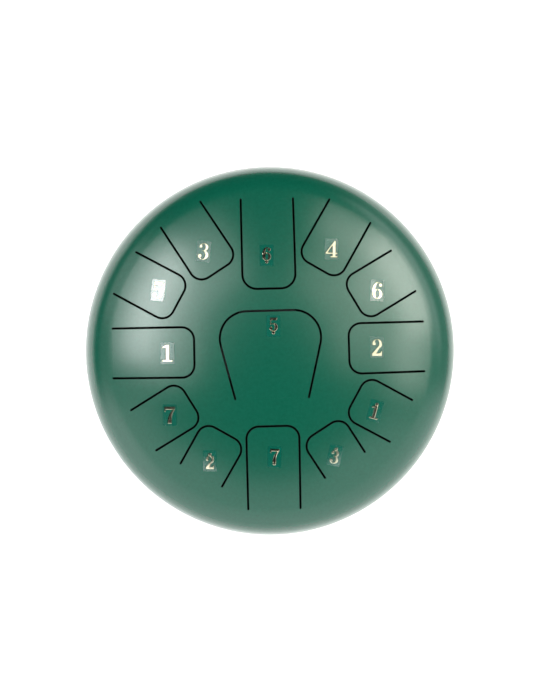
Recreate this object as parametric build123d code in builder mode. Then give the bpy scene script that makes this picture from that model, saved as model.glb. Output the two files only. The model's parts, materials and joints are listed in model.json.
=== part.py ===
from build123d import *
from math import acos, asin, cos, degrees, radians, sin
import os

# A 12 inch, 13 note steel tongue drum: two pressed steel shells welded at their rims,
# thirteen sprung tongues cut out of the upper shell, a sticker with its number on each,
# a sound hole underneath and three rubber feet.
# Millimetres. The origin is on the floor below the drum's axis, +Z up,
# +Y towards the lowest note of the ring, 6 low.

os.makedirs("parts", exist_ok=True)

# ---- Shells ----
body_diameter = 305.0  # over the weld
shell_height = 79.0  # from the seam to the pole, outside
ground_clearance = 7.0  # under the lower pole
sheet = 1.8
crown_radius = 330.0  # sphere of the playing face
crown_edge_radius = 128.0  # where the crown meets the shoulder
wall_angle = 12.0  # how far the wall arc rises from the seam, degrees
seam_bearing = 15.0  # bearing of the surfaces' own start line, between two tongues
sound_hole_radius = 42.0
sound_hole_edge = 0.5

# ---- Weld ----
weld_depth = 1.4
weld_crown = 0.3

# ---- Tongues ----
kerf = 1.4
hinge_gap = 0.03
narrow = 37.8  # widths between the middles of the two slots
medium = 39.8
wide = 41.8
corner_radius = 10.0
wide_corner_radius = 11.5
horseshoe_corner_radius = 21.5

# name: (bearing, root radius, free end radius, width at root, width at free end, corner radius)
# The bearings stray a little from every 30 degrees, and the four beside the wide pair stand away from it.
tongues = {
    "6_low": (89.8, 121.4, 49.2, wide, wide, wide_corner_radius),
    "7_low": (-90.2, 126.2, 59.3, wide, wide, corner_radius),
    "1": (179.3, 125.8, 60.3, medium, medium, corner_radius),
    "2": (0.1, 122.4, 61.8, medium, medium, corner_radius),
    "3": (121.8, 130.7, 75.6, narrow, narrow, corner_radius),
    "4": (58.8, 128.7, 75.4, narrow, narrow, corner_radius),
    "5": (150.2, 132.2, 82.7, narrow, narrow, corner_radius),
    "6": (29.5, 123.9, 77.3, narrow, narrow, corner_radius),
    "7": (-149.6, 119.4, 74.8, narrow, narrow, corner_radius),
    "1_high": (-29.8, 118.2, 76.2, narrow, narrow, corner_radius),
    "2_high": (-120.8, 113.1, 74.3, narrow, narrow, corner_radius),
    "3_high": (-58.5, 108.3, 73.9, narrow, narrow, corner_radius),
    "5_low": (-90, 37.0, -31.8, 58.0, 91.2, horseshoe_corner_radius),
}

# ---- Stickers, put on by hand: place of the middle, and lean to the right in degrees ----
film_width = 11.0
film_height = 17.0
film_thickness = 0.15
film_corner = 0.6
digit_thickness = 0.45
sticker_gap = 0.02
figure_height = 13.6
dotted_figure_height = 11.0
dot_radius = 1.3
dot_overlap = 0.4  # the dot runs into its figure, so that they are one piece

stickers = {
    "6_low": (-1.1, 75.7, 1.7),
    "7_low": (0.7, -84.0, 3.5),
    "1": (-81.6, 0.6, 1.7),
    "2": (84.2, 0.5, 1.7),
    "3": (-50.9, 80.4, 7.5),
    "4": (50.5, 79.4, 2.7),
    "5": (-88.0, 50.8, 7.0),
    "6": (86.0, 45.7, 4.5),
    "7": (-81.4, -48.5, 1.7),
    "1_high": (81.6, -49.8, 16.5),
    "2_high": (-50.7, -85.9, 1.7),
    "3_high": (48.6, -84.4, 13.5),
    "5_low": (2.6, 19.7, 1.7),
}

# ---- Feet ----
foot_count = 3
foot_circle_radius = 80.0
foot_radius = 13.0
foot_edge = 2.0
foot_pad_radius = 12.0
foot_pad_thickness = 0.8

# ---- Section of one shell: crown, shoulder and wall arcs, each tangent to the next ----
seam_z = ground_clearance + shell_height
shell_radius = body_diameter / 2 - weld_crown
shell_top = seam_z + shell_height

crown_angle = degrees(acos(crown_edge_radius / crown_radius))
crown_cos = cos(radians(crown_angle))
crown_sin = sin(radians(crown_angle))
wall_cos = cos(radians(wall_angle))
wall_sin = sin(radians(wall_angle))

# The shoulder and wall radii bring the three arcs from the pole to the seam.
span_out = shell_radius - crown_edge_radius
span_down = shell_height - crown_radius * (1 - crown_sin)
determinant = (wall_cos - crown_cos) * wall_sin - (1 - wall_cos) * (crown_sin - wall_sin)
shoulder_radius = (span_out * wall_sin - (1 - wall_cos) * span_down) / determinant
wall_radius = ((wall_cos - crown_cos) * span_down - (crown_sin - wall_sin) * span_out) / determinant

crown_centre = (0, shell_height - crown_radius)
wall_centre = (shell_radius - wall_radius, 0)
shoulder_centre = (
    wall_centre[0] + (wall_radius - shoulder_radius) * wall_cos,
    (wall_radius - shoulder_radius) * wall_sin,
)

# The rim is bevelled outside, from the wall down to weld_depth inside it, to make the weld's groove.
groove_angle = degrees(asin(weld_depth / wall_radius))
groove_x = wall_centre[0] + wall_radius * cos(radians(groove_angle))
root_x = shell_radius - weld_depth


def shell_section():
    """Half section of one shell: x is the radius, y is the height from the seam to the pole."""
    with BuildSketch() as section:
        with BuildLine():
            CenterArc(crown_centre, crown_radius, crown_angle, 90 - crown_angle)
            CenterArc(shoulder_centre, shoulder_radius, wall_angle, crown_angle - wall_angle)
            CenterArc(wall_centre, wall_radius, groove_angle, wall_angle - groove_angle)
            Line((groove_x, weld_depth), (root_x, 0))
            Line((root_x, 0), (shell_radius - sheet, 0))
            CenterArc(wall_centre, wall_radius - sheet, 0, wall_angle)
            CenterArc(shoulder_centre, shoulder_radius - sheet, wall_angle, crown_angle - wall_angle)
            CenterArc(crown_centre, crown_radius - sheet, crown_angle, 90 - crown_angle)
            Line((0, shell_height - sheet), (0, shell_height))
        make_face()
    return section.sketch


def bearing_vector(bearing):
    return (cos(radians(bearing)), sin(radians(bearing)), 0)


# Both shells stand on this plane family: local x runs outwards, local y away from the seam.
out = bearing_vector(seam_bearing)
upper_plane = Plane(origin=(0, 0, seam_z), x_dir=out, z_dir=(out[1], -out[0], 0))
lower_plane = Plane(origin=(0, 0, seam_z), x_dir=out, z_dir=(-out[1], out[0], 0))


def cap_section(offset):
    """Half section of the space under a sphere that lies this far outside a shell's crown."""
    radius = crown_radius + offset
    edge = (radius * crown_cos, crown_centre[1] + radius * crown_sin)
    with BuildSketch() as section:
        with BuildLine():
            CenterArc(crown_centre, radius, crown_angle, 90 - crown_angle)
            Polyline((0, shell_height + offset), (0, 0), (edge[0], 0), edge)
        make_face()
    return section.sketch


# ---- Tongue outlines: local x runs outwards along the tongue's bearing ----
def slot_outline(root, free_end, root_width, end_width, corner):
    """The U shaped cut round one tongue, with round ends."""
    with BuildSketch() as slot:
        with BuildLine():
            FilletPolyline(
                (root, root_width / 2),
                (free_end, end_width / 2),
                (free_end, -end_width / 2),
                (root, -root_width / 2),
                radius=corner,
            )
            offset(amount=kerf / 2, side=Side.BOTH)
        make_face()
    return slot.sketch


def tongue_field(root, free_end, root_width, end_width, corner):
    """The area inside the middle line of the slot, closed at the root."""
    with BuildSketch() as field:
        with BuildLine():
            FilletPolyline(
                (root, root_width / 2),
                (free_end, end_width / 2),
                (free_end, -end_width / 2),
                (root, -root_width / 2),
                radius=corner,
            )
            Line((root, -root_width / 2), (root, root_width / 2))
        make_face()
    return field.sketch


def tongue_plane(name):
    return Plane(origin=(0, 0, seam_z), x_dir=bearing_vector(tongues[name][0]), z_dir=(0, 0, 1))


# ---- Upper shell ----
with BuildPart() as upper_shell:
    with BuildSketch(upper_plane):
        add(shell_section())
    revolve(axis=Axis.Z)
    for name, (_, *shape) in tongues.items():
        with BuildSketch(tongue_plane(name)):
            add(tongue_field(*shape))
            add(slot_outline(*shape))
        extrude(amount=shell_height, mode=Mode.SUBTRACT)
upper_shell.part.label = "upper_shell"
export_step(upper_shell.part, "parts/upper_shell.step")

# ---- Tongues ----
for name, (_, *shape) in tongues.items():
    root, _, root_width = shape[:3]
    with BuildPart() as tongue:
        with BuildSketch(upper_plane):
            add(shell_section())
        revolve(axis=Axis.Z)
        with BuildSketch(tongue_plane(name)):
            add(tongue_field(*shape))
            add(slot_outline(*shape), mode=Mode.SUBTRACT)
            with Locations((root, 0)):
                Rectangle(2 * hinge_gap, root_width, mode=Mode.SUBTRACT)
        extrude(amount=shell_height, mode=Mode.INTERSECT)
    tongue.part.label = f"tongue_{name}"
    export_step(tongue.part, f"parts/tongue_{name}.step")

# ---- Lower shell ----
with BuildPart() as lower_shell:
    with BuildSketch(lower_plane):
        with BuildSketch(Plane.XY, mode=Mode.PRIVATE) as holed_section:
            add(shell_section())
            Rectangle(2 * sound_hole_radius, 3 * shell_height, mode=Mode.SUBTRACT)
            hole_corners = holed_section.vertices().group_by(Axis.X)[0]
            fillet(hole_corners, sound_hole_edge)
        add(holed_section.sketch)
    revolve(axis=Axis.Z)
lower_shell.part.label = "lower_shell"
export_step(lower_shell.part, "parts/lower_shell.step")

# ---- Weld round the seam ----
with BuildPart() as equator_weld:
    with BuildSketch(upper_plane):
        with BuildLine():
            ThreePointArc((groove_x, weld_depth), (body_diameter / 2, 0), (groove_x, -weld_depth))
            Polyline((groove_x, -weld_depth), (root_x, 0), (groove_x, weld_depth))
        make_face()
    revolve(axis=Axis.Z)
equator_weld.part.label = "equator_weld"
export_step(equator_weld.part, "parts/equator_weld.step")

# ---- Feet: rubber bumpers, hollowed on top to the lower crown, on adhesive pads ----
foot_blank_height = 30.0

with BuildPart() as under_pads:
    with BuildSketch(lower_plane):
        add(cap_section(foot_pad_thickness))
    revolve(axis=Axis.Z)

with BuildPart() as under_crown:
    with BuildSketch(lower_plane):
        add(cap_section(0))
    revolve(axis=Axis.Z)

with BuildPart() as foot_pattern:
    with BuildSketch(Plane(origin=(foot_circle_radius, 0, 0))):
        Circle(foot_radius)
    extrude(amount=foot_blank_height)
    fillet(foot_pattern.edges().group_by(Axis.Z)[0], foot_edge)
    add(under_pads.part, mode=Mode.SUBTRACT)

with BuildPart() as foot_pad_pattern:
    with BuildSketch(Plane(origin=(foot_circle_radius, 0, 0))):
        Circle(foot_pad_radius)
    extrude(amount=foot_blank_height)
    add(under_pads.part, mode=Mode.INTERSECT)
    add(under_crown.part, mode=Mode.SUBTRACT)

for number in range(1, foot_count + 1):
    turn = Rotation(0, 0, 90 + (number - 1) * 360 / foot_count)

    with BuildPart() as foot:
        with Locations(turn):
            add(foot_pattern.part)
    foot.part.label = f"foot_{number}"
    export_step(foot.part, f"parts/foot_{number}.step")

    with BuildPart() as foot_pad:
        with Locations(turn):
            add(foot_pad_pattern.part)
    foot_pad.part.label = f"foot_pad_{number}"
    export_step(foot_pad.part, f"parts/foot_pad_{number}.step")


# ---- Figures: bold and seriffed, drawn ten units high about their middle ----
def bowl(x, y, outer_x, outer_y, inner_x, inner_y, shift=0.0):
    """A ring, thick at its sides and thin at its top and bottom."""
    with Locations((x, y)):
        Ellipse(outer_x, outer_y)
    with Locations((x + shift, y)):
        Ellipse(inner_x, inner_y, mode=Mode.SUBTRACT)


def box(left, bottom, right, top, mode=Mode.ADD):
    with Locations(((left + right) / 2, (bottom + top) / 2)):
        Rectangle(right - left, top - bottom, mode=mode)


def ball(x, y, radius):
    with Locations((x, y)):
        Circle(radius)


def area(*points, mode=Mode.ADD):
    Polygon(*points, align=None, mode=mode)


def draw_1():
    box(-1.15, -4.6, 1.15, 5)
    box(-3.1, -5, 3.1, -3.8)
    area((-1.0, 5), (-3.1, 3.7), (-3.1, 2.7), (-1.0, 3.3))


def draw_2():
    bowl(0.1, 2.1, 3.0, 2.9, 1.35, 2.3, shift=-0.25)
    box(-3.2, -1.0, 0.1, 2.2, mode=Mode.SUBTRACT)
    ball(-1.75, 2.2, 1.15)
    area((3.1, 2.1), (-0.4, -3.5), (-3.1, -3.5), (0.9, 1.0), (1.3, 2.1))
    box(-3.1, -5, 3.1, -3.3)
    area((3.2, -1.9), (2.5, -1.9), (1.7, -3.4), (3.1, -3.4))


def draw_3():
    bowl(-0.1, 2.5, 2.8, 2.5, 1.15, 1.9, shift=-0.3)
    box(-3.2, -1.9, -0.9, 2.9, mode=Mode.SUBTRACT)
    bowl(0, -2.1, 3.2, 2.9, 1.35, 2.2, shift=-0.3)
    box(-3.4, -2.6, -0.9, 1.0, mode=Mode.SUBTRACT)
    ball(-1.82, 2.9, 1.05)
    ball(-1.95, -2.6, 1.2)


def draw_4():
    area((-3.6, -2.0), (1.6, 5), (2.6, 5), (2.6, -2.0))
    area((-2.1, -1.9), (0.45, 1.7), (0.45, -1.9), mode=Mode.SUBTRACT)
    box(-3.6, -3.0, 3.6, -1.9)
    box(0.45, -4.6, 2.6, 0)
    box(-0.8, -5, 3.6, -3.9)


def draw_5():
    bowl(0, -1.9, 3.1, 3.1, 1.3, 2.4, shift=-0.3)
    box(-3.3, -2.7, -1.0, 1.4, mode=Mode.SUBTRACT)
    area((-2.4, 5), (2.8, 5), (2.3, 3.0), (-1.7, 3.0), (-1.7, 0.6), (-0.6, 1.25), (-0.6, 0.5), (-2.4, -0.5))
    ball(-1.85, -2.7, 1.15)


def draw_6():
    bowl(0.2, 0, 3.3, 5, 1.6, 4.4, shift=0.3)
    box(0.9, -5, 3.6, 3.2, mode=Mode.SUBTRACT)
    bowl(0.1, -2.0, 3.1, 3.0, 1.05, 2.3)
    ball(1.8, 3.2, 1.15)


def draw_7():
    with BuildLine() as outline:
        Polyline((1.9, 3.2), (-2.2, 3.2), (-2.5, 1.9), (-3.2, 1.9), (-3.2, 5), (3.2, 5), (3.2, 3.7))
        ThreePointArc((3.2, 3.7), (1.5, 0.0), (1.3, -5))
        Line((1.3, -5), (-1.3, -5))
        ThreePointArc((-1.3, -5), (-0.5, -0.4), (1.9, 3.2))
    make_face(outline.edges())


drawings = {"1": draw_1, "2": draw_2, "3": draw_3, "4": draw_4, "5": draw_5, "6": draw_6, "7": draw_7}
drawn_height = 10.0


def digit_outline(name):
    """A sticker's figure with its octave dot: below for a low note, above for a high one."""
    figure, _, octave = name.partition("_")
    height = dotted_figure_height if octave else figure_height
    side = {"low": 1, "high": -1, "": 0}[octave]
    with BuildSketch() as figure_shape:
        drawings[figure]()
        scale(by=height / drawn_height)
    with BuildSketch() as outline:
        with Locations((0, side * (dot_radius - dot_overlap / 2))):
            add(figure_shape.sketch)
        if octave:
            with Locations((0, -side * (height - dot_overlap) / 2)):
                Circle(dot_radius)
    return outline.sketch


def crown_cap(offset):
    """The solid under a sphere that lies this far above the upper crown."""
    with BuildPart() as cap:
        with BuildSketch(upper_plane):
            add(cap_section(offset))
        revolve(axis=Axis.Z)
    return cap.part


# ---- Stickers: a clear film and a raised metal figure, both bent to the crown ----
film_bottom = crown_cap(sticker_gap)
film_top = crown_cap(sticker_gap + film_thickness)
digit_bottom = crown_cap(2 * sticker_gap + film_thickness)
digit_top = crown_cap(2 * sticker_gap + film_thickness + digit_thickness)

for name, (middle_x, middle_y, sticker_lean) in stickers.items():
    sticker_plane = Plane(
        origin=(middle_x, middle_y, seam_z),
        x_dir=bearing_vector(-sticker_lean),
        z_dir=(0, 0, 1),
    )
    with BuildPart() as film:
        with BuildSketch(sticker_plane):
            RectangleRounded(film_width, film_height, film_corner)
        extrude(amount=2 * shell_height)
        add(film_top, mode=Mode.INTERSECT)
        add(film_bottom, mode=Mode.SUBTRACT)
    film.part.label = f"film_{name}"
    export_step(film.part, f"parts/film_{name}.step")

    with BuildPart() as digit:
        with BuildSketch(sticker_plane):
            add(digit_outline(name))
        extrude(amount=2 * shell_height)
        add(digit_top, mode=Mode.INTERSECT)
        add(digit_bottom, mode=Mode.SUBTRACT)
    digit.part.label = f"digit_{name}"
    export_step(digit.part, f"parts/digit_{name}.step")
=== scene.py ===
import json
import math

import bpy
import numpy as np
from mathutils import Matrix, Vector, noise
from mathutils.geometry import delaunay_2d_cdt


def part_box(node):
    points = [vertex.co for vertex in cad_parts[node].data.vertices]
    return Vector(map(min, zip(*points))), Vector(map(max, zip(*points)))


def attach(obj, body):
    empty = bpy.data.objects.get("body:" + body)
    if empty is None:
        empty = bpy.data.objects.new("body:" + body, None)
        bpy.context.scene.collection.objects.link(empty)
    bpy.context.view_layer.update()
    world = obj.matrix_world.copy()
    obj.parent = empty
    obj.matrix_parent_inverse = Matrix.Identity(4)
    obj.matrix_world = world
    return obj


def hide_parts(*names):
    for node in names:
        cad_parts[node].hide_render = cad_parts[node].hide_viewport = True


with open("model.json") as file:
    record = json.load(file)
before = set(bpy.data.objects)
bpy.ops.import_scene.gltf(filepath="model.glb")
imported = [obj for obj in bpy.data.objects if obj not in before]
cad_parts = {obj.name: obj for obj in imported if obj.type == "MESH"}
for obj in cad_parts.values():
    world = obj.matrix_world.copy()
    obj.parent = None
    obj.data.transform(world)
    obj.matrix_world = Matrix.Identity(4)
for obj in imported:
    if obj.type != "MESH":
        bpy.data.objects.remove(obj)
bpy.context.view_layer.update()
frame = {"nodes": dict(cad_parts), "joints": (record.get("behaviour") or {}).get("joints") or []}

# A steel tongue drum seen from straight above. The sheet metal and the feet are remade here as
# fine meshes with rounded edges. The tongues' places and lengths, the stickers' outlines and the
# feet's places come from the frame.
# Metres, the frame's own axes: the drum stands on z = 0 and its axis is the z axis.

MM = 0.001

# ---- The drum's driving sizes, as in the CAD model ----
BODY_RADIUS = 152.5 * MM
SHELL_HEIGHT = 79.0 * MM
SHEET = 1.8 * MM
CROWN_RADIUS = 330.0 * MM
CROWN_EDGE = 128.0 * MM
WALL_ANGLE = math.radians(12)
WELD_CROWN = 0.3 * MM
WELD_DEPTH = 1.4 * MM
SOUND_HOLE = 42.0 * MM
KERF = 1.4 * MM
CORNER = 10.0 * MM
SPECIAL_CORNERS = {"6_low": 11.5 * MM, "5_low": 21.5 * MM}
HORSESHOE_ROOT_WIDTH, HORSESHOE_END_WIDTH, HORSESHOE_LENGTH = 58.0, 91.2, 68.8
HORSESHOE_FLARE = math.atan2(HORSESHOE_END_WIDTH - HORSESHOE_ROOT_WIDTH, 2 * HORSESHOE_LENGTH)
FOOT_PAD = 0.8 * MM

# ---- Finish of the edges, and how fine the meshes are ----
SLOT_ROUND = 0.2 * MM
SLOT_ROUND_INSIDE = 0.2 * MM
HOLE_ROUND = 0.5 * MM
ROOT_GAP = 0.015 * MM  # a tongue stops this far short of the window's root line
MESH_STEP = 3.2 * MM
STRAIGHT_STEP = 3.0 * MM  # along a slot's straight parts
CORNER_STEP = 0.7 * MM  # along a slot's corners
LEAST_CORNER_STEPS = 8
ROOT_STEP = 2.0 * MM  # along a tongue's root
SLOT_END_STEPS = 14  # round each slot's end
EDGE_STEPS = 4  # over a slot's outer rounded edge
INSIDE_EDGE_STEPS = 2
HOLE_EDGE_STEPS = 5
RING_COUNT = 288
SPLIT_RADIUS = 140.0 * MM  # the upper shell is filled round its windows inside it, turned outside

seam_z = (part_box("equator_weld")[0].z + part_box("equator_weld")[1].z) / 2
shell_radius = BODY_RADIUS - WELD_CROWN
crown_angle = math.acos(CROWN_EDGE / CROWN_RADIUS)


def solve_shoulder():
    """Radii of the shoulder and wall arcs from the crown to the seam, each tangent to the next."""
    crown_cos, crown_sin = math.cos(crown_angle), math.sin(crown_angle)
    wall_cos, wall_sin = math.cos(WALL_ANGLE), math.sin(WALL_ANGLE)
    matrix = [[wall_cos - crown_cos, 1 - wall_cos], [crown_sin - wall_sin, wall_sin]]
    spans = [shell_radius - CROWN_EDGE, SHELL_HEIGHT - CROWN_RADIUS * (1 - crown_sin)]
    return np.linalg.solve(matrix, spans)


shoulder_radius, wall_radius = solve_shoulder()
crown_centre = (0.0, SHELL_HEIGHT - CROWN_RADIUS)
wall_centre = (shell_radius - wall_radius, 0.0)
shoulder_centre = (
    wall_centre[0] + (wall_radius - shoulder_radius) * math.cos(WALL_ANGLE),
    (wall_radius - shoulder_radius) * math.sin(WALL_ANGLE),
)
# Each arc of the section: its centre, its radius, and its lower and upper angle.
ARCS = (
    (crown_centre, CROWN_RADIUS, crown_angle, math.pi / 2),
    (shoulder_centre, shoulder_radius, WALL_ANGLE, crown_angle),
    (wall_centre, wall_radius, 0.0, WALL_ANGLE),
)
TOUCH = 1e-9  # arcs this near each other meet
ON_AXIS = 1e-12  # a point nearer the axis than this has no bearing


def surface(radius, inset=0.0):
    """Height above the seam and the normal's two parts, where a shell is this far from its axis."""
    radius = np.asarray(radius, float)
    height, out, up = np.zeros_like(radius), np.zeros_like(radius), np.zeros_like(radius)
    for centre, arc_radius, low, high in ARCS:
        r = arc_radius - inset
        nearest, farthest = centre[0] + r * math.cos(high), centre[0] + r * math.cos(low)
        here = (radius >= nearest - TOUCH) & (radius <= farthest + TOUCH)
        across = np.clip((radius - centre[0]) / r, -1, 1)
        rise = np.sqrt(1 - across**2)
        height = np.where(here, centre[1] + r * rise, height)
        out = np.where(here, across, out)
        up = np.where(here, rise, up)
    return height, out, up


# ---- Building meshes with exact normals ----
def linked(name, data):
    """A new object with this data, in the scene."""
    made = bpy.data.objects.new(name, data)
    bpy.context.scene.collection.objects.link(made)
    return made


class Sheet:
    """Points, faces and one normal for each face corner, for a shell or a tongue."""

    def __init__(self, side=1):
        self.side = side  # 1 for what lies above the seam, -1 for what is mirrored below it
        self.points, self.faces, self.normals, self.inside = [], [], [], []

    def add(self, xy, height):
        """Adds points at these heights above the seam, and gives their indices."""
        start = len(self.points)
        for (x, y), h in zip(xy, height):
            self.points.append((x, y, seam_z + self.side * h))
        return np.arange(start, len(self.points))

    def face(self, corners, normals, inside=False):
        """Adds a face; one on the inside, or on a slot's cut edge as painted shade, takes the
        second material.
        """
        if self.side < 0:
            corners, normals = corners[::-1], [(x, y, -z) for x, y, z in normals[::-1]]
        self.faces.append([int(c) for c in corners])
        self.normals.extend(tuple(n) for n in normals)
        self.inside.append(1 if inside else 0)

    def strip(
        self, upper, lower, upper_normals, lower_normals, closed=True, inside=False, flip=False
    ):
        """Quads between two rows of points. With the outer side on the right, upper comes first."""
        count = len(upper)
        for i in range(count if closed else count - 1):
            j = (i + 1) % count
            corners = [upper[i], lower[i], lower[j], upper[j]]
            normals = [upper_normals[i], lower_normals[i], lower_normals[j], upper_normals[j]]
            if flip:
                corners, normals = corners[::-1], normals[::-1]
            self.face(corners, normals, inside)

    def make(self, name, materials):
        """The object, smooth, with its own normals."""
        mesh = bpy.data.meshes.new(name)
        mesh.from_pydata(self.points, [], self.faces)
        mesh.polygons.foreach_set("use_smooth", [True] * len(mesh.polygons))
        for material in materials:
            mesh.materials.append(material)
        if len(materials) > 1:
            mesh.polygons.foreach_set("material_index", self.inside)
        mesh.update()
        mesh.normals_split_custom_set(self.normals)
        return linked(name, mesh)


def surface_normals(xy, inset=0.0):
    """The outward normals of a shell's surface over these points of the plan."""
    xy = np.asarray(xy, float)
    radius = np.maximum(np.hypot(xy[:, 0], xy[:, 1]), ON_AXIS)
    _, out, up = surface(radius, inset)
    return np.column_stack((out * xy[:, 0] / radius, out * xy[:, 1] / radius, up))


def heights(xy, inset=0.0):
    """Heights of a shell's surface above the seam over these points of the plan."""
    xy = np.asarray(xy, float)
    return surface(np.hypot(xy[:, 0], xy[:, 1]), inset)[0]


def even_odd(points, loops):
    """True for each point that lies inside an odd number of the loops."""
    inside = np.zeros(len(points), bool)
    for loop in loops:
        a, b = loop, np.roll(loop, -1, axis=0)
        for (ax, ay), (bx, by) in zip(a, b):
            if ay == by:
                continue
            crosses = (ay > points[:, 1]) != (by > points[:, 1])
            inside ^= crosses & (points[:, 0] < (bx - ax) * (points[:, 1] - ay) / (by - ay) + ax)
    return inside


ROW_SPACING = math.sqrt(0.75)  # of a grid of even triangles, in steps
BORDER_SPACE = 0.6  # how many steps a grid point stays away from the loops
GRID_CHUNK = 2000  # grid points compared with the loops at a time
SAME_PLAN_POINT = 1e-7  # in mm


def fill(sheet, loops, rows, inset, step, inside=False):
    """Fills the plan between the loops with fine triangles, and lays it on the shell's surface.

    The loops' own points are already in the sheet, at the indices in rows.
    """
    border = np.vstack(loops)
    low, high = border.min(0), border.max(0)
    grid_x = np.arange(low[0], high[0] + step, step)
    grid_y = np.arange(low[1], high[1] + step, step * ROW_SPACING)
    grid = np.array([(x + (j % 2) * step / 2, y) for j, y in enumerate(grid_y) for x in grid_x])
    grid = grid[even_odd(grid, loops)]
    clear = np.ones(len(grid), bool)
    for chunk in np.array_split(np.arange(len(grid)), max(1, len(grid) // GRID_CHUNK)):
        gaps = np.hypot(
            grid[chunk, None, 0] - border[None, :, 0], grid[chunk, None, 1] - border[None, :, 1]
        )
        clear[chunk] = gaps.min(1) > step * BORDER_SPACE
    grid = grid[clear]
    everything = np.vstack((border, grid))
    edges, start = [], 0
    for loop in loops:
        edges += [(start + i, start + (i + 1) % len(loop)) for i in range(len(loop))]
        start += len(loop)
    plan = [Vector(p) for p in everything / MM]
    made = delaunay_2d_cdt(plan, edges, [], 0, SAME_PLAN_POINT)
    flat = np.array([tuple(p) for p in made[0]]) * MM
    triangles = np.array([f for f in made[2] if len(f) == 3])
    keep = even_odd(flat[triangles].mean(1), loops)
    grid_rows = sheet.add(grid, heights(grid, inset))
    index = np.concatenate([*rows, grid_rows])
    to_sheet = []
    for point, sources in zip(flat, made[3]):
        if sources:
            to_sheet.append(index[sources[0]])
        else:
            to_sheet.append(sheet.add([point], heights([point], inset))[0])
    normals = surface_normals(flat, inset)
    if inside:
        normals = -normals
    for a, b, c in triangles[keep]:
        order = [a, b, c]
        if np.cross(flat[b] - flat[a], flat[c] - flat[a]) < 0:
            order = [a, c, b]
        if inside:
            order = order[::-1]
        sheet.face([to_sheet[i] for i in order], [normals[i] for i in order], inside)


# ---- A tongue's outline, read from its joint and its CAD node ----
def spaced(start, end, step, least=2):
    """Points from start towards end, without the end itself, no more than a step apart."""
    count = max(least, math.ceil(np.hypot(*(end - start)) / step))
    return [start + (end - start) * i / count for i in range(count)]


MIRROR = np.array([1.0, -1.0])
INWARDS = np.array([-1.0, 0.0])


def mirrored(points):
    """The same anchors, directions and reaches on a tongue's other side, in the opposite order."""
    return [(anchor * MIRROR, way * MIRROR, reach) for anchor, way, reach in points[::-1]]


def pushed(points, distance):
    """Each anchor moved along its direction by its own reach and this distance."""
    return [anchor + way * (reach + distance) for anchor, way, reach in points]


class Outline:
    """The U of one tongue as anchors and directions, so that offsets of it keep the same points."""

    def __init__(self, name):
        self.name = name
        joint = next(j for j in frame["joints"] if j["child"] == f"tongue_{name}")
        axis = Vector(joint["axis"])
        self.outwards = np.array([axis.y, -axis.x])
        self.across = np.array([axis.x, axis.y])
        self.root = float(np.dot(self.outwards, joint["pos_m"][:2]))
        plan = np.array([(v.co.x, v.co.y) for v in frame["nodes"][f"tongue_{name}"].data.vertices])
        along, aside = plan @ self.outwards, plan @ self.across
        self.free_end = along.min() - KERF / 2
        flare = HORSESHOE_FLARE if name == "5_low" else 0.0
        at_root = aside[along > self.root - MM].max()
        self.half_root = at_root + (KERF / 2) / math.cos(flare)
        self.corner = SPECIAL_CORNERS.get(name, CORNER)
        self.slope = math.tan(flare)
        self.side = np.array([math.cos(flare), -math.sin(flare)])
        self.normal = np.array([math.sin(flare), math.cos(flare)])
        self._lay_out()

    def _lay_out(self):
        """The middle line of the slot, and the same with its two round ends for the window."""
        tip = np.array([self.root, self.half_root])
        centre_u = self.free_end + self.corner
        line_v = self.half_root + (self.root - centre_u) * self.slope
        centre = np.array([centre_u, line_v - self.corner / math.cos(math.atan(self.slope))])
        turn = math.pi - math.atan2(self.normal[1], self.normal[0])
        corner_start = centre + self.corner * self.normal
        half = [(p, self.normal, 0.0) for p in spaced(tip, corner_start, STRAIGHT_STEP)]
        arc_count = max(LEAST_CORNER_STEPS, round(self.corner * turn / CORNER_STEP))
        first = math.pi - turn
        for i in range(arc_count):
            angle = first + turn * i / arc_count
            half.append((centre, np.array([math.cos(angle), math.sin(angle)]), self.corner))
        end_point, middle = np.array([self.free_end, centre[1]]), np.array([self.free_end, 0.0])
        half += [(p, INWARDS, 0.0) for p in spaced(end_point, middle, STRAIGHT_STEP)]
        self.u_points = [*half, (middle, INWARDS, 0.0), *mirrored(half)]
        side_angle = math.atan2(self.normal[1], self.normal[0])
        tip_points = []
        for i in range(SLOT_END_STEPS):
            angle = -math.pi / 2 + (side_angle + math.pi / 2) * i / SLOT_END_STEPS
            tip_points.append((tip, np.array([math.cos(angle), math.sin(angle)]), 0.0))
        self.window_points = [*tip_points, *self.u_points, *mirrored(tip_points)]

    def plan(self, local):
        """Points of the tongue's own two axes, laid in the drum's plan."""
        local = np.asarray(local)
        return np.outer(local[:, 0], self.outwards) + np.outer(local[:, 1], self.across)

    def tongue_row(self, inset):
        """Points and outward directions of the tongue's edge, drawn in by inset, and its root."""
        row = pushed(self.u_points, -(KERF / 2 + inset))
        root_u = self.root - ROOT_GAP
        row[0] = row[0] + self.side * (root_u - row[0][0]) / self.side[0]
        row[-1] = row[0] * MIRROR
        directions = [direction for _, direction, _ in self.u_points]
        return self._close(row, directions)

    def window_row(self, inset):
        """Points of the window's edge in the shell, widened by inset, and its root after them."""
        row = pushed(self.window_points, KERF / 2 + inset)
        directions = [-direction for _, direction, _ in self.window_points]
        return self._close(row, directions)

    def _close(self, row, directions):
        """The row with its root line, both in plan, their directions, and where the root starts."""
        count = round(2 * self.half_root / ROOT_STEP)
        root_row = [row[-1] + (row[0] - row[-1]) * i / count for i in range(1, count)]
        flat = np.array(row + root_row)
        ways = np.array(directions + [np.array([1.0, 0.0])] * len(root_row))
        return self.plan(flat), self.plan(ways), len(row)


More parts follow.
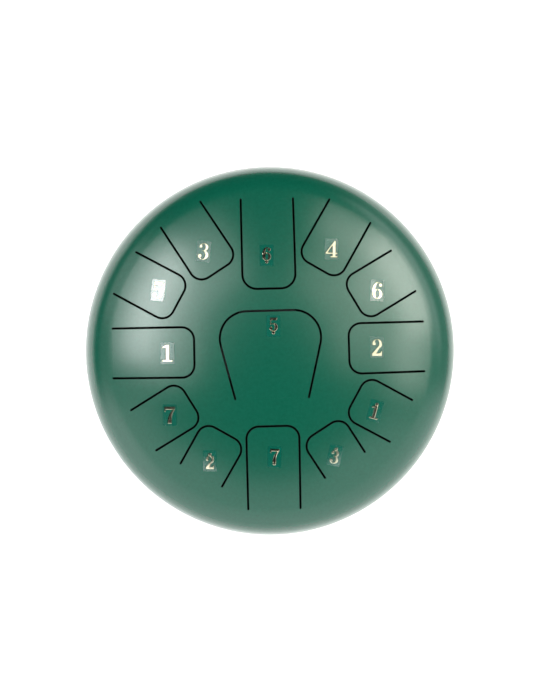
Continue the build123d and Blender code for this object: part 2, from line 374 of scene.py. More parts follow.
def edge_levels():
    """Inset, depth, sheet inset and angle, from the top over the edge to the inner surface."""
    steps = []
    for i in range(EDGE_STEPS + 1):
        angle = math.pi / 2 * i / EDGE_STEPS
        inset = SLOT_ROUND * (1 - math.sin(angle))
        steps.append((inset, SLOT_ROUND * (1 - math.cos(angle)), 0.0, angle))
    for i in range(INSIDE_EDGE_STEPS + 1):
        angle = math.pi / 2 * (1 - i / INSIDE_EDGE_STEPS)
        inset = SLOT_ROUND_INSIDE * (1 - math.sin(angle))
        steps.append((inset, -SLOT_ROUND_INSIDE * (1 - math.cos(angle)), SHEET, angle))
    return steps


def cut_edge(sheet, row_at, flip):
    """Builds the cut edge of a tongue or window; returns its two rims as plan rows and indices."""
    rims, levels = [], []
    for inset, depth, sheet_inset, angle in edge_levels():
        plan, ways, split = row_at(inset)
        index = sheet.add(plan, heights(plan, sheet_inset) - depth)
        face_normals = surface_normals(plan, sheet_inset) * (1 if sheet_inset == 0 else -1)
        flat_ways = np.column_stack((ways, np.zeros(len(ways))))
        normals = flat_ways * math.sin(angle) + face_normals * math.cos(angle)
        normals /= np.linalg.norm(normals, axis=1)[:, None]
        rims.append((plan, index))
        levels.append((index, normals))
    root = [*range(split - 1, len(flat_ways)), 0]
    root_way = -flat_ways[split] if flip else flat_ways[split]
    root_ways = [root_way] * len(root)
    # The whole cut edge, its rounded rims too, takes the dark inside material: painted shade that
    # makes the slots read black.
    painted_shade_options = {"closed": False, "inside": True, "flip": flip}
    for (upper, upper_normals), (lower, lower_normals) in zip(levels, levels[1:]):
        sheet.strip(
            upper[:split], lower[:split], upper_normals[:split], lower_normals[:split], **painted_shade_options
        )
        sheet.strip(upper[root], lower[root], root_ways, root_ways, **painted_shade_options)
    return rims[0], rims[-1]


def build_tongue(outline, materials):
    """A tongue cut from the shell's sheet, with rounded edges along its slots."""
    sheet = Sheet()
    top, bottom = cut_edge(sheet, outline.tongue_row, flip=False)
    fill(sheet, [top[0]], [top[1]], 0.0, MESH_STEP)
    fill(sheet, [bottom[0]], [bottom[1]], SHEET, MESH_STEP, inside=True)
    return sheet.make(f"steel_tongue_{outline.name}", materials)


# ---- Turned surfaces ----
SAME_STATION = 1e-7
ring_angles = np.linspace(0, 2 * math.pi, RING_COUNT, endpoint=False)
ring_ways = np.column_stack((np.cos(ring_angles), np.sin(ring_angles)))


def ring_normals(out, up):
    """One normal for each point of a ring, from its outward and its upward part."""
    return np.column_stack((ring_ways * out, np.full(RING_COUNT, up)))


def arc_stations(inset, start, end, step):
    """Radius, height and normal along a shell's section, from one angle of its arcs to another."""
    stations = []
    for centre, arc_radius, low, high in ARCS:
        r = arc_radius - inset
        begin, stop = min(high, start), max(low, end)
        if begin <= stop:
            continue
        count = max(1, math.ceil(r * (begin - stop) / step))
        for i in range(count + 1):
            angle = begin + (stop - begin) * i / count
            place = (centre[0] + r * math.cos(angle), centre[1] + r * math.sin(angle))
            if not stations or math.dist(place, stations[-1][:2]) > SAME_STATION:
                stations.append((*place, math.cos(angle), math.sin(angle)))
    return stations


def section_angle(radius, inset=0.0):
    """The arcs' own angle where the section crosses this radius, outside the crown."""
    _, out, _ = surface(np.array([radius]), inset)
    return math.acos(float(out[0]))


def lathe(sheet, first, runs, last, inside):
    """Joins rings along runs of stations, each run smooth in itself; the inside runs are dark."""
    ring = first
    for number, run in enumerate(runs):
        for a, b in zip(run, run[1:]):
            final = number == len(runs) - 1 and b is run[-1]
            below = last if final else sheet.add(ring_ways * b[0], np.full(RING_COUNT, b[1]))
            above_normals, below_normals = ring_normals(*a[2:]), ring_normals(*b[2:])
            sheet.strip(ring, below, above_normals, below_normals, inside=number in inside)
            ring = below


def rim_runs(outer_start, inner_start):
    """From the outside of a shell down to its bevelled rim, across it, and back up the inside."""
    groove = math.asin(WELD_DEPTH / wall_radius)  # the wall arc's angle at the weld's groove
    outer = arc_stations(0.0, outer_start, groove, MESH_STEP)
    inner = arc_stations(SHEET, inner_start, 0.0, MESH_STEP)[::-1]
    inner = [(r, h, -out, -up) for r, h, out, up in inner]
    slant = math.sqrt(0.5)
    root = (shell_radius - WELD_DEPTH, 0.0)
    bevel = [(*outer[-1][:2], slant, -slant), (*root, slant, -slant)]
    butt = [(*root, 0.0, -1.0), (*inner[0][:2], 0.0, -1.0)]
    return [outer, bevel, butt, inner]


INSIDE_RUN = 3  # the inner one of rim_runs


def unit_stations(stations):
    """The same stations with normals of length one."""
    return [(r, h, *(np.array((a, b)) / math.hypot(a, b))) for r, h, a, b in stations]


def build_upper_shell(outlines, materials):
    """The upper half, with a window round each tongue, down to its bevelled rim at the seam."""
    sheet = Sheet()
    split_plan = ring_ways * SPLIT_RADIUS
    split_top = sheet.add(split_plan, heights(split_plan))
    split_bottom = sheet.add(split_plan, heights(split_plan, SHEET))
    windows = [cut_edge(sheet, outline.window_row, flip=True) for outline in outlines]
    top_loops, top_rows = zip((split_plan, split_top), *[top for top, _ in windows])
    fill(sheet, top_loops, top_rows, 0.0, MESH_STEP)
    bottom_loops, bottom_rows = zip((split_plan, split_bottom), *[bottom for _, bottom in windows])
    fill(sheet, bottom_loops, bottom_rows, SHEET, MESH_STEP, inside=True)
    runs = rim_runs(section_angle(SPLIT_RADIUS), section_angle(SPLIT_RADIUS, SHEET))
    lathe(sheet, split_top, runs, split_bottom, inside=(INSIDE_RUN,))
    return sheet.make("pressed_upper_shell", materials)


def build_lower_shell(materials):
    """The same pressing upside down, with a round sound hole in place of the windows."""
    sheet = Sheet(side=-1)
    top_round, bottom_round = [], []
    for i in range(HOLE_EDGE_STEPS + 1):
        angle = math.pi / 2 * i / HOLE_EDGE_STEPS
        radius = SOUND_HOLE + HOLE_ROUND * (1 - math.sin(angle))
        depth = HOLE_ROUND * (1 - math.cos(angle))
        height, out, up = (float(x[0]) for x in surface(np.array([radius])))
        inner_height, inner_out, inner_up = (
            float(x[0]) for x in surface(np.array([radius]), SHEET)
        )
        c, s = math.cos(angle), math.sin(angle)
        top_round.append((radius, height - depth, out * c - s, up * c))
        bottom_round.append((radius, inner_height + depth, -inner_out * c - s, -inner_up * c))
    top_round, bottom_round = unit_stations(top_round), unit_stations(bottom_round)
    hole = SOUND_HOLE + HOLE_ROUND
    outer_start = math.acos(hole / CROWN_RADIUS)
    inner_start = math.acos(hole / (CROWN_RADIUS - SHEET))
    outer, bevel, butt, inner = rim_runs(outer_start, inner_start)
    first = sheet.add(ring_ways * hole, np.full(RING_COUNT, outer[0][1]))
    wall = [bottom_round[-1], top_round[-1]]
    runs = [outer, bevel, butt, inner, bottom_round, wall, top_round[::-1]]
    lathe(sheet, first, runs, first, inside=(INSIDE_RUN,))
    return sheet.make("pressed_lower_shell", materials)


BEAD_STEPS = 8
BEAD_HALF_WIDTH = 1.9 * MM
BEAD_SINK = 0.015 * MM  # its edges lie this far inside the wall
BEAD_WOBBLE_SCALE, BEAD_RIPPLE_SCALE = 9, 5
BEAD_SEED = 3.1
# Its width and height as shares: the mean, and how much the slow wobble and the ripple add.
BEAD_WIDTH = (1, 0.12, 0.05)
BEAD_HEIGHT = (0.82, 0.14, 0.04)


def uneven(shares, wobble, ripple):
    """The bead's mean share of a size, with its wobble and ripple added."""
    mean, slow, fast = shares
    return mean + slow * wobble + fast * ripple


def build_weld(materials):
    """The bead round the seam, ground nearly flush, a little uneven in height and width."""
    sheet = Sheet()
    rings, normals = [], []
    for k in range(BEAD_STEPS + 1):
        t = -1 + 2 * k / BEAD_STEPS
        plan, levels = [], []
        for c, s in ring_ways:
            place = Vector((c * BEAD_WOBBLE_SCALE, s * BEAD_WOBBLE_SCALE, BEAD_SEED))
            wobble = noise.noise(place)
            ripple = noise.noise(place * BEAD_RIPPLE_SCALE)
            width = BEAD_HALF_WIDTH * uneven(BEAD_WIDTH, wobble, ripple)
            crown = WELD_CROWN * uneven(BEAD_HEIGHT, wobble, ripple)
            radius = shell_radius - BEAD_SINK + crown * (1 - t * t)
            plan.append((c * radius, s * radius))
            levels.append(-t * width)
        rings.append(sheet.add(plan, levels))
        slope = 2 * WELD_CROWN * t / BEAD_HALF_WIDTH
        normals.append(ring_normals(1 / math.hypot(1, slope), -slope / math.hypot(1, slope)))
    for upper, lower, above, below in zip(rings, rings[1:], normals, normals[1:]):
        sheet.strip(upper, lower, above, below)
    root = sheet.add(ring_ways * (shell_radius - WELD_DEPTH), np.zeros(RING_COUNT))
    slant = math.sqrt(0.5)
    lower_side, upper_side = ring_normals(-slant, -slant), ring_normals(-slant, slant)
    sheet.strip(rings[-1], root, lower_side, lower_side)
    sheet.strip(root, rings[0], upper_side, upper_side)
    return sheet.make("ground_weld_bead", materials)


# ---- Stickers: outlines taken from the CAD figures and films ----
FILM_BEVEL = 0.04 * MM
FILM_STEP = 0.7 * MM
DIGIT_BEVEL = 0.38 * MM
DIGIT_BEVEL_DEPTH = 0.40 * MM
DIGIT_STEP = 0.3 * MM
STROKE_SHARE = 0.42  # a bevel takes no more of a stroke's width than this
MITRE_LIMIT = 0.55  # the least cosine that a mitre is worked out for
BEVEL_SMOOTHING = 4
NEAREST_STROKE = 0.05 * MM
WIDEST_STROKE = 10.0 * MM
PARALLEL = 1e-15
SAME_VERTEX_DIGITS = 7  # decimals of a metre that tell two vertices apart
FACES_UP = 0.5  # the least z of the normal of a face that belongs to the top
FILL_STEPS = 3  # a plate's faces are filled this much more coarsely than its edge


def top_outlines(node, step):
    """The loops round a curved plate's upper face, seen from above, its material on their left."""
    mesh = frame["nodes"][node].data
    keys = [tuple(round(c, SAME_VERTEX_DIGITS) for c in v.co) for v in mesh.vertices]
    edges = set()
    for polygon in mesh.polygons:
        if polygon.normal.z > FACES_UP:
            ring = [keys[i] for i in polygon.vertices]
            edges |= {(a, b) for a, b in zip(ring, ring[1:] + ring[:1])}
    following = {a: b for a, b in edges if (b, a) not in edges}
    loops = []
    while following:
        start = min(following)
        loop = [start]
        while following.get(loop[-1]) is not None:
            after = following.pop(loop[-1])
            if after == start:
                break
            loop.append(after)
        flat = np.array([p[:2] for p in loop])
        fine = []
        for a, b in zip(flat, np.roll(flat, -1, axis=0)):
            fine += spaced(a, b, step, least=1)
        loops.append(np.array(fine))
    return loops


def inward(loop):
    """At each point the way into the material, the mitre's factor, and the way in from its edge."""
    ahead = np.roll(loop, -1, axis=0) - loop
    ahead /= np.linalg.norm(ahead, axis=1)[:, None]
    edge_way = np.column_stack((-ahead[:, 1], ahead[:, 0]))
    both = edge_way + np.roll(edge_way, 1, axis=0)
    both /= np.linalg.norm(both, axis=1)[:, None]
    mitre = 1 / np.clip((both * edge_way).sum(1), MITRE_LIMIT, 1)
    return both, mitre, edge_way


def stroke_width(loop, ways, loops):
    """How far it is straight across the figure from each point of a loop."""
    starts = np.vstack(loops)
    ends = np.vstack([np.roll(other, -1, axis=0) for other in loops])
    along = ends - starts
    widths = []
    for point, way in zip(loop, ways):
        gap = starts - point
        cross = way[0] * along[:, 1] - way[1] * along[:, 0]
        cross = np.where(np.abs(cross) < PARALLEL, PARALLEL, cross)
        reach = (gap[:, 0] * along[:, 1] - gap[:, 1] * along[:, 0]) / cross
        place = (gap[:, 0] * way[1] - gap[:, 1] * way[0]) / cross
        hits = reach[(reach > NEAREST_STROKE) & (place >= 0) & (place <= 1)]
        widths.append(hits.min() if len(hits) else WIDEST_STROKE)
    return np.array(widths)


def smooth_ring(values, rounds):
    """Evens out values round a loop, without raising any of them."""
    for _ in range(rounds):
        values = np.minimum(values, (np.roll(values, 1) + values + np.roll(values, -1)) / 3)
    return values


def plate(name, node, bevel, depth, step, materials):
    """A thin plate bent to the crown, with the CAD node's outline and a bevel round its top."""
    inner, outer = plate_radii(node)
    loops = top_outlines(node, step)
    sheet = Sheet()
    top_inset, bottom_inset = CROWN_RADIUS - outer, CROWN_RADIUS - inner
    bevel_inset = top_inset + depth
    rims, rim_rows, feet_rows = [], [], []
    for loop in loops:
        ways, mitre, edge_ways = inward(loop)
        limit = np.minimum(bevel, STROKE_SHARE * stroke_width(loop, ways, loops))
        limit = smooth_ring(limit, BEVEL_SMOOTHING)
        rim = loop + ways * (limit * mitre)[:, None]
        top = sheet.add(rim, heights(rim, top_inset))
        edge = sheet.add(loop, heights(loop, bevel_inset))
        foot = sheet.add(loop, heights(loop, bottom_inset))
        count = len(loop)
        for i in range(count):
            j = (i + 1) % count
            out = -edge_ways[i]
            slant = np.array([out[0] * depth, out[1] * depth, limit[i]])
            slant /= np.linalg.norm(slant)
            sheet.face([top[i], edge[i], edge[j], top[j]], [slant] * 4)
            sheet.face([edge[i], foot[i], foot[j], edge[j]], [(out[0], out[1], 0.0)] * 4)
        rims.append(rim)
        rim_rows.append(top)
        feet_rows.append(foot)
    fill(sheet, rims, rim_rows, top_inset, FILL_STEPS * step)
    fill(sheet, loops, feet_rows, bottom_inset, FILL_STEPS * step, inside=True)
    return sheet.make(name, materials)


def plate_radii(node):
    """The two radii from the crown's centre between which a bent plate lies."""
    centre = Vector((0, 0, seam_z + crown_centre[1]))
    reach = [(v.co - centre).length for v in frame["nodes"][node].data.vertices]
    return min(reach), max(reach)


# ---- Feet ----
FOOT_STEPS = 72
FOOT_RADIUS, FOOT_EDGE = 13.0, 2.0  # in mm
FOOT_EDGE_STEPS, FOOT_EDGE_START = 8, 0.1
# Radius and height above the floor in mm, from the middle of the dished sole to its rounded edge,
# then up the slightly drawn-in side.
FOOT_SOLE = [
    (0.0, 0.9), (3.0, 0.9), (7.2, 0.8), (8.0, 0.35), (8.6, 0.05), (9.2, 0.0), (10.9, 0.0),
]
FOOT_SIDE = [
    (13.0, 3.2), (12.97, 3.6), (12.75, 4.0), (12.6, 5.0), (12.55, 7.0), (12.55, 9.0), (12.6, 10.4),
]
# Radius and depth in mm under the crown that the top fits.
FOOT_TOP = [
    (12.62, 1.4), (12.7, 0.9), (12.7, 0.45), (12.56, 0.12), (12.25, 0.0), (8.0, 0.0), (4.0, 0.0),
]


def foot_edge():
    """The rounded edge between a foot's sole and its side, in mm."""
    across, above = FOOT_RADIUS - FOOT_EDGE, FOOT_EDGE
    angles = np.linspace(FOOT_EDGE_START, math.pi / 2, FOOT_EDGE_STEPS)
    return [(across + FOOT_EDGE * math.sin(a), above - FOOT_EDGE * math.cos(a)) for a in angles]


def build_foot(node, foot_material):
    """A moulded rubber foot with a dished sole, a rounded edge, and a top that fits the crown."""
    low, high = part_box(node)
    middle = (low + high) / 2
    crown_z = seam_z - crown_centre[1]
    crown_reach = CROWN_RADIUS + FOOT_PAD
    angles = np.linspace(0, 2 * math.pi, FOOT_STEPS, endpoint=False)

    def place_at(r, angle):
        return middle.x + r * math.cos(angle), middle.y + r * math.sin(angle)

    def top_at(r, angle):
        x, y = place_at(r, angle)
        return crown_z - math.sqrt(crown_reach**2 - x * x - y * y)

    points, faces = [], []
    for r, z in (*FOOT_SOLE, *foot_edge(), *FOOT_SIDE):
        points += [(*place_at(r * MM, a), z * MM) for a in angles]
    for r, under in FOOT_TOP:
        points += [(*place_at(r * MM, a), top_at(r * MM, a) - under * MM) for a in angles]
    last = len(points) - FOOT_STEPS
    for start in range(0, last, FOOT_STEPS):
        above = start + FOOT_STEPS
        for i in range(FOOT_STEPS):
            k = (i + 1) % FOOT_STEPS
            faces.append((start + i, start + k, above + k, above + i))
    points.append((middle.x, middle.y, top_at(0.0, 0.0)))
    faces += [(last + i, last + (i + 1) % FOOT_STEPS, len(points) - 1) for i in range(FOOT_STEPS)]
    mesh = bpy.data.meshes.new(f"rubber_{node}")
    mesh.from_pydata(points, [], faces)
    mesh.validate()
    mesh.polygons.foreach_set("use_smooth", [True] * len(mesh.polygons))
    mesh.materials.append(foot_material)
    return linked(f"rubber_{node}", mesh)


# ---- Materials ----
def material(name, **values):
    """A new material's Principled node, with these plain numbers set on it."""
    made = bpy.data.materials.new(name)
    made.use_nodes = True
    shader = made.node_tree.nodes["Principled BSDF"]
    for socket, value in values.items():
        shader.inputs[socket.replace("_", " ")].default_value = value
    return made, shader


def noise_value(made, scale, detail=2.0, roughness=0.5):
    """The value of a noise texture laid in the object's own coordinates."""
    tree = made.node_tree
    place = tree.nodes.new("ShaderNodeTexCoord")
    texture = tree.nodes.new("ShaderNodeTexNoise")
    texture.inputs["Scale"].default_value = scale
    texture.inputs["Detail"].default_value = detail
    texture.inputs["Roughness"].default_value = roughness
    tree.links.new(place.outputs["Object"], texture.inputs["Vector"])
    return texture.outputs["Fac"]


NOISE_RANGE = (0.3, 0.7)  # nearly all of a noise texture's values


def colour_mix(made, shader, fac, *colours):
    """Blends the base colour from the first colour to the second with this value."""
    tree = made.node_tree
    ramp = tree.nodes.new("ShaderNodeValToRGB")
    for element, position, colour in zip(ramp.color_ramp.elements, NOISE_RANGE, colours):
        element.position = position
        element.color = (*colour, 1)
    tree.links.new(fac, ramp.inputs["Fac"])
    tree.links.new(ramp.outputs["Color"], shader.inputs["Base Color"])


def vary_roughness(made, shader, fac, low, high):
    """Spreads the roughness from low to high with this value."""
    tree = made.node_tree
    spread = tree.nodes.new("ShaderNodeMapRange")
    spread.inputs["From Min"].default_value, spread.inputs["From Max"].default_value = NOISE_RANGE
    spread.inputs["To Min"].default_value = low
    spread.inputs["To Max"].default_value = high
    tree.links.new(fac, spread.inputs["Value"])
    tree.links.new(spread.outputs["Result"], shader.inputs["Roughness"])


def bumps(made, shader, layers):
    """Bumps one on another: each layer is a noise output and its height in metres."""
    tree = made.node_tree
    below = None
    for fac, height in layers:
        bump = tree.nodes.new("ShaderNodeBump")
        bump.inputs["Strength"].default_value = 1.0
        bump.inputs["Distance"].default_value = height
        tree.links.new(fac, bump.inputs["Height"])
        if below is not None:
            tree.links.new(below, bump.inputs["Normal"])
        below = bump.outputs["Normal"]
    tree.links.new(below, shader.inputs["Normal"])


PAINT_ROUGHNESS, PAINT_ROUGHNESS_SPREAD = 0.25, 0.012


def satin_paint(name, *colours):
    """Painted steel, with a fine grain in its colour and gloss and a slight orange peel."""
    made, shader = material(name, IOR=1.5)
    colour_mix(made, shader, noise_value(made, scale=420.0, detail=4.0, roughness=0.7), *colours)
    gloss = noise_value(made, scale=300.0, detail=3.0)
    low, high = PAINT_ROUGHNESS - PAINT_ROUGHNESS_SPREAD, PAINT_ROUGHNESS + PAINT_ROUGHNESS_SPREAD
    vary_roughness(made, shader, gloss, low, high)
    fine = noise_value(made, scale=1400.0)
    peel = noise_value(made, scale=330.0, detail=1.0)
    bumps(made, shader, [(peel, 0.004 * MM), (fine, 0.0035 * MM)])
    return made


def grained(name, colours, grain, roughness, gloss, bump, surface_grain, **values):
    """A material whose colour, roughness and surface each vary with a noise of their own."""
    made, shader = material(name, **values)
    colour_mix(made, shader, noise_value(made, **grain), *colours)
    vary_roughness(made, shader, noise_value(made, **gloss), *roughness)
    bumps(made, shader, [(noise_value(made, **surface_grain), bump)])
    return made


def clear_film(name):
    """Clear glossy film, its own green that of the paint seen through it."""
    made, shader = material(name, Roughness=0.13, IOR=1.75, Alpha=0.7)
    colours = (0.001, 0.082, 0.054), (0.003, 0.092, 0.062)
    colour_mix(made, shader, noise_value(made, scale=70.0), *colours)
    bumps(made, shader, [(noise_value(made, scale=110.0, detail=1.0), 0.005 * MM)])
    return made


shell_paint = satin_paint("satin_green_shell", (0.0, 0.055, 0.0325), (0.0015, 0.0665, 0.040))
tongue_paint = satin_paint("satin_green_tongue", (0.0, 0.055, 0.0325), (0.0015, 0.0655, 0.040))
# Dark paint for the shells' inside; on every slot's cut edge and rounded rims it is painted shade.
inside_paint_and_slot_shade = grained(
    "dull_inside_paint_and_slot_shade",
    colours=((0.004, 0.010, 0.008), (0.007, 0.017, 0.014)),
    grain={"scale": 60.0, "detail": 4.0},
    roughness=(0.6, 0.75),
    gloss={"scale": 90.0},
    bump=0.02 * MM,
    surface_grain={"scale": 500.0},
    Specular_IOR_Level=0.12,
)
foot_rubber = grained(
    "black_rubber",
    colours=((0.012, 0.012, 0.013), (0.022, 0.022, 0.023)),
    grain={"scale": 150.0, "detail": 4.0},
    roughness=(0.55, 0.72),
    gloss={"scale": 240.0},
    bump=0.03 * MM,
    surface_grain={"scale": 1500.0},
)
pad_foam = grained(
    "grey_foam_tape",
    colours=((0.045, 0.045, 0.047), (0.09, 0.09, 0.092)),
    grain={"scale": 900.0, "detail": 4.0},
    roughness=(0.8, 0.95),
    gloss={"scale": 900.0},
    bump=0.12 * MM,
    surface_grain={"scale": 1800.0},
)
film_clear = clear_film("clear_sticker_film")
digit_metal = grained(
    "gold_foil_metal",
    colours=((0.42, 0.40, 0.29), (0.49, 0.46, 0.36)),
    grain={"scale": 240.0},
    roughness=(0.10, 0.16),
    gloss={"scale": 600.0},
    bump=0.02 * MM,
    surface_grain={"scale": 260.0, "detail": 1.0},
    Metallic=1.0,
)


# ---- The drum ----
def place(made, node, body, slot):
    """Puts a piece in its CAD node's place, on the node's body."""
    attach(made, body)
    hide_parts(node)


outlines = [Outline(name[len("tongue_"):]) for name in frame["nodes"] if name.startswith("tongue_")]
shell_materials = [shell_paint, inside_paint_and_slot_shade]
place(build_upper_shell(outlines, shell_materials), "upper_shell", "shell", "shell_paint")
place(build_lower_shell(shell_materials), "lower_shell", "shell", "shell_paint")
place(build_weld([shell_paint]), "equator_weld", "shell", "shell_paint")
for outline in outlines:
    name = outline.name
    body = f"tongue_{name}"
    place(build_tongue(outline, [tongue_paint, inside_paint_and_slot_shade]), body, body, "tongue_paint")
    film_shape = (FILM_BEVEL, FILM_BEVEL, FILM_STEP)
    film = plate(f"sticker_film_{name}", f"film_{name}", *film_shape, [film_clear])
    place(film, f"film_{name}", body, "sticker_film")
    digit_shape = (DIGIT_BEVEL, DIGIT_BEVEL_DEPTH, DIGIT_STEP)
    digit = plate(f"sticker_digit_{name}", f"digit_{name}", *digit_shape, [digit_metal])
    place(digit, f"digit_{name}", body, "sticker_metal")
for number in (1, 2, 3):
    place(build_foot(f"foot_{number}", foot_rubber), f"foot_{number}", "shell", "foot_rubber")
    pad = frame["nodes"][f"foot_pad_{number}"]
    pad.data.materials.clear()
    pad.data.materials.append(pad_foam)


# ---- Node maths for the floor and the world ----
def stepped(tree, source, low, high):
    """A smooth step of a node's value from 0 at low to 1 at high."""
    node = tree.nodes.new("ShaderNodeMapRange")
    node.interpolation_type = "SMOOTHSTEP"
    node.inputs["From Min"].default_value = low
    node.inputs["From Max"].default_value = high
    tree.links.new(source, node.inputs["Value"])
    return node.outputs["Result"]


def combined(tree, operation, first, second):
    """Two values in one maths node; the second may be a plain number."""
    node = tree.nodes.new("ShaderNodeMath")
    node.operation = operation
    tree.links.new(first, node.inputs[0])
    if isinstance(second, (int, float)):
        node.inputs[1].default_value = second
    else:
        tree.links.new(second, node.inputs[1])
    return node.outputs["Value"]


# ---- Floor ----
FLOOR_EDGES = (-0.50, -2.5, 0.34, 0.36)  # left, front, right, behind
FLOOR_GLOW = 0.45
# Painted shadow under the drum: the floor's colour is dark and its glow off inside the first
# radius.
FLOOR_PAINTED_SHADOW_RADII = (0.110, 0.160)  # the floor is dark inside the first, pale from the second on
# The painted shadow's dark colour, then the pale floor's own colour.
FLOOR_SHADOW_AND_PALE_COLOURS = (0.12, 0.12, 0.12), (0.82, 0.82, 0.82)


def studio_floor():
    """A pale floor with a little light of its own, and a painted shadow under the drum: dark there
    and without glow.
    """
    left, front, right, behind = FLOOR_EDGES
    mesh = bpy.data.meshes.new("studio_floor")
    corners = [(left, front, 0), (right, front, 0), (right, behind, 0), (left, behind, 0)]
    mesh.from_pydata(corners, [], [(0, 1, 2, 3)])
    floor = linked("studio_floor", mesh)
    made, shader = material("pale_floor_with_painted_shadow", Roughness=0.9)
    shader.inputs["Emission Color"].default_value = (1, 1, 1, 1)
    tree = made.node_tree
    place_node = tree.nodes.new("ShaderNodeTexCoord")
    length = tree.nodes.new("ShaderNodeVectorMath")
    length.operation = "LENGTH"
    tree.links.new(place_node.outputs["Object"], length.inputs[0])
    # Painted shadow: 0 under the drum, 1 clear of it; it turns the glow off and the colour dark
    # there.
    outside_painted_shadow = stepped(tree, length.outputs["Value"], *FLOOR_PAINTED_SHADOW_RADII)
    glow = combined(tree, "MULTIPLY", outside_painted_shadow, FLOOR_GLOW)
    tree.links.new(glow, shader.inputs["Emission Strength"])
    colour_mix(made, shader, outside_painted_shadow, *FLOOR_SHADOW_AND_PALE_COLOURS)
    mesh.materials.append(made)


# ---- Lights ----
LIGHT_DISTANCE = 2.5  # from the drum's top
WHITE = (1, 1, 1)
WARM = (1.0, 0.99, 0.91)
# Name, bearings and angles from the vertical in degrees, radiance, flat pieces and colour.
SOFTBOXES = (
    ("upper_glow", (-8, 188), (13, 24), 0.4, 5, WHITE),
    ("left_softbox", (130, 183), (38.5, 48.5), 15.0, 3, WHITE),
    ("left_fill", (106, 196), (24, 40), 3.5, 4, WHITE),
    ("left_lamp", (136, 164), (33, 41), 5.2, 1, WHITE),
    ("left_low_lamp", (164, 188), (32, 41), 3.0, 1, WHITE),
    ("left_skirt", (138, 168), (50, 84), 1.1, 1, WHITE),
    ("right_softbox", (5, 46), (45.5, 54), 15.0, 2, WARM),
    ("right_outer", (6, 44), (54, 66), 5.5, 1, WARM),
    ("left_top", (108, 130), (40, 48), 2.6, 1, WHITE),
    ("right_edge", (46, 68), (43, 53), 4.5, 1, WARM),
    ("right_side", (-18, 5), (42, 53), 6.0, 1, WARM),
    ("right_fill", (-12, 66), (22, 45), 2.4, 3, WARM),
    ("right_lamp", (18, 38), (34.5, 41.5), 5.5, 1, WARM),
    ("front_strip", (198, 332), (43, 56), 1.5, 5, WHITE),
    ("front_lamp_left", (228, 248), (42, 45), 2.2, 1, WHITE),
    ("front_lamp_right", (294, 314), (42, 45), 2.2, 1, WHITE),
)


def turned(made, right, up, back):
    """Turns an object so that its own x, y and z lie along these directions."""
    made.rotation_mode = "QUATERNION"
    made.rotation_quaternion = Matrix((right, up, back)).transposed().to_quaternion()


def softbox(name, bearings, tilts, radiance, pieces, colour):
    """A curved softbox of flat pieces between these bearings and tilts, seen from the drum."""
    step = math.radians(bearings[1] - bearings[0]) / pieces
    tilt = math.radians(sum(tilts) / 2)
    width = 2 * LIGHT_DISTANCE * math.sin(tilt) * math.tan(step / 2)
    height = 2 * LIGHT_DISTANCE * math.tan(math.radians(tilts[1] - tilts[0]) / 2)
    for number in range(pieces):
        light = bpy.data.lights.new(f"{name}_{number + 1}", "AREA")
        light.shape = "RECTANGLE"
        light.size, light.size_y = width, height
        light.energy = math.pi * width * height * radiance
        light.color = colour
        bearing = math.radians(bearings[0]) + step * (number + 0.5)
        c, s = math.cos(bearing), math.sin(bearing)
        away = Vector((math.sin(tilt) * c, math.sin(tilt) * s, math.cos(tilt)))
        sideways = Vector((-s, c, 0))
        made = linked(light.name, light)
        made.location = Vector((0, 0, seam_z + SHELL_HEIGHT)) + away * LIGHT_DISTANCE
        turned(made, sideways, away.cross(sideways), away)


# ---- World ----
# Each glow: how bright it is, and the two values of a direction's part between which it comes up.
CEILING = (0.64, 0.56)  # of z: all glows lie below it
HORIZON = (-0.02, 0.16)  # of z: the left and window glows lie above it
WALL_LEVEL, WALL_RISE = 2.1, (-0.10, -0.38)  # of y
SIDE_LEVEL, SIDE_RISE = 0.5, (0.35, 0.65)  # of x
LEFT_LEVEL, LEFT_RISE = 0.6, (-0.5, -0.8)  # of x
WINDOW_LEVEL, WINDOW_RISE = 2.2, (0.78, 0.95)  # of the way towards the window
WINDOW_BEARING = math.radians(28)
ROOM_LEVEL = 0.02


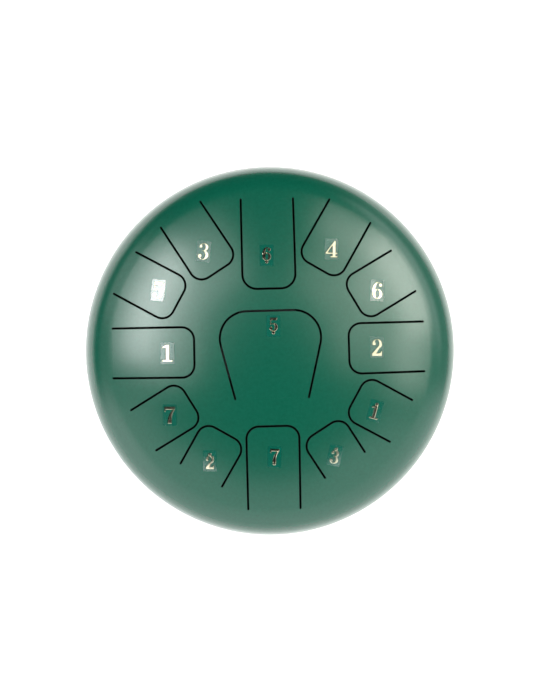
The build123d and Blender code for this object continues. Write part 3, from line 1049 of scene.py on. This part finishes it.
def studio_world():
    """A dim room: a pale wall towards -y, softer glows towards +x and -x, and a window.

    The camera itself sees a plain white background.
    """
    world = bpy.data.worlds.new("studio")
    bpy.context.scene.world = world
    world.use_nodes = True
    tree = world.node_tree
    background = tree.nodes["Background"]
    way = tree.nodes.new("ShaderNodeTexCoord")
    split = tree.nodes.new("ShaderNodeSeparateXYZ")
    tree.links.new(way.outputs["Generated"], split.inputs["Vector"])
    x, y, z = (split.outputs[axis] for axis in "XYZ")
    facing = tree.nodes.new("ShaderNodeVectorMath")
    facing.operation = "DOT_PRODUCT"
    facing.inputs[1].default_value = (math.cos(WINDOW_BEARING), math.sin(WINDOW_BEARING), 0)
    tree.links.new(way.outputs["Generated"], facing.inputs[0])

    def glow(part, rise, mask, level):
        risen = combined(tree, "MULTIPLY", stepped(tree, part, *rise), mask)
        return combined(tree, "MULTIPLY", risen, level)

    low = stepped(tree, z, *CEILING)
    band = combined(tree, "MULTIPLY", low, stepped(tree, z, *HORIZON))
    wall, side = glow(y, WALL_RISE, low, WALL_LEVEL), glow(x, SIDE_RISE, low, SIDE_LEVEL)
    left = glow(x, LEFT_RISE, band, LEFT_LEVEL)
    window = glow(facing.outputs["Value"], WINDOW_RISE, band, WINDOW_LEVEL)
    walls = combined(tree, "ADD", combined(tree, "MAXIMUM", wall, side), left)
    level = combined(tree, "ADD", walls, combined(tree, "ADD", window, ROOM_LEVEL))
    path = tree.nodes.new("ShaderNodeLightPath")
    mix = tree.nodes.new("ShaderNodeMix")
    mix.data_type = "RGBA"
    mix.inputs["B"].default_value = (1, 1, 1, 1)
    tree.links.new(path.outputs["Is Camera Ray"], mix.inputs["Factor"])
    tree.links.new(level, mix.inputs["A"])
    tree.links.new(mix.outputs["Result"], background.inputs["Color"])


# ---- Camera ----
CAMERA_LENS, CAMERA_SENSOR = 89.15, 36.0
CAMERA_PLACE = Vector((-0.0133, 0.0053, seam_z + 1.44))
CAMERA_AIM = Vector((0.0001, 0.0006, seam_z))
IMAGE_UP = Vector((0.0282, 0.9996, 0))  # the photo is turned a little


def overhead_camera():
    """A camera above the drum, aimed and turned as in the photo."""
    data = bpy.data.cameras.new("camera")
    data.lens = CAMERA_LENS
    data.sensor_width = CAMERA_SENSOR
    camera = linked("camera", data)
    camera.location = CAMERA_PLACE
    back = (CAMERA_PLACE - CAMERA_AIM).normalized()
    right = IMAGE_UP.cross(back).normalized()
    turned(camera, right, back.cross(right), back)
    bpy.context.scene.camera = camera


studio_floor()
studio_world()
for values in SOFTBOXES:
    softbox(*values)
overhead_camera()
bpy.context.scene.view_settings.view_transform = "Standard"
